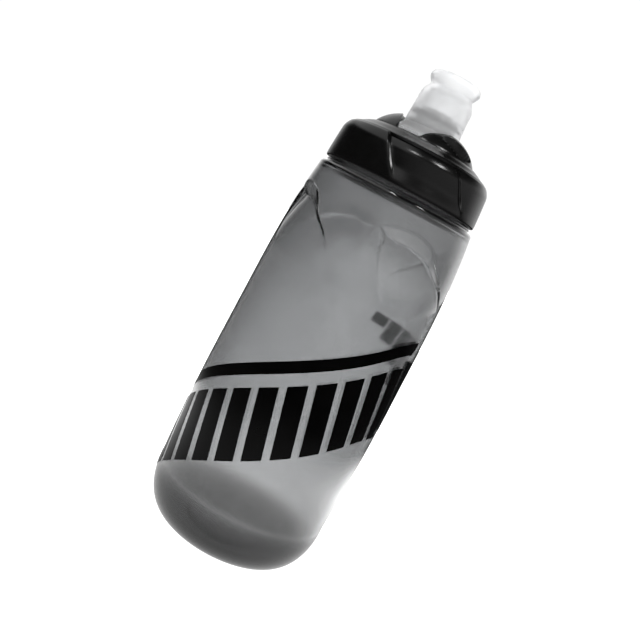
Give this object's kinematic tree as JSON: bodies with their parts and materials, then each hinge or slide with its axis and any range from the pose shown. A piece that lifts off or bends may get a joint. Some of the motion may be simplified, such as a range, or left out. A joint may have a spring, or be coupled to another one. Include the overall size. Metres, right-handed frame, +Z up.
{
  "type": "sports squeeze bottle",
  "caption": "Squeezable sports bottle with grip dents, a threaded cap, a twist-to-lock dial and a self-sealing silicone mouthpiece.",
  "frame": {"origin": "centre of the standing ring, on the surface that the bottle stands on", "axes": "+Z up along the bottle's axis, -Y towards the front, where the cap's front finger panel is"},
  "size_m": [0.0738, 0.0738, 0.2032],
  "materials": {
    "smoke_plastic": "smoke-grey translucent polypropylene, satin",
    "black_plastic": "black moulded polypropylene, satin gloss",
    "clear_plastic": "natural translucent polypropylene",
    "clear_silicone": "translucent milky silicone, satin",
    "seal_rubber": "black seal rubber, matt"
  },
  "bodies": {
    "bottle": {"bottle_body": "smoke_plastic"},
    "gasket": {"cap_gasket": "seal_rubber"},
    "cap": {"cap_shell": "black_plastic", "port_seat": "black_plastic", "port_seal": "clear_silicone"},
    "dial": {"lock_dial": "black_plastic", "spout_core": "clear_plastic", "dial_o_ring": "seal_rubber", "mouthpiece": "clear_silicone"}
  },
  "joints": [
    {"name": "cap_rise", "type": "slide", "parent": "bottle", "child": "gasket", "axis": [0, 0, 1], "range_m": [0, 0.012]},
    {"name": "cap_turn", "type": "hinge", "parent": "gasket", "child": "cap", "pos_m": [0, 0, 0.1623], "axis": [0, 0, 1], "range_deg": [0, 1080]},
    {"name": "dial_turn", "type": "hinge", "parent": "cap", "child": "dial", "pos_m": [0, 0, 0.1744], "axis": [0, 0, 1], "range_deg": [0, 90]}
  ],
  "couplings": [
    {"joint": "cap_rise", "follows": "cap_turn", "m_per_rad": 0.0006366}
  ]
}
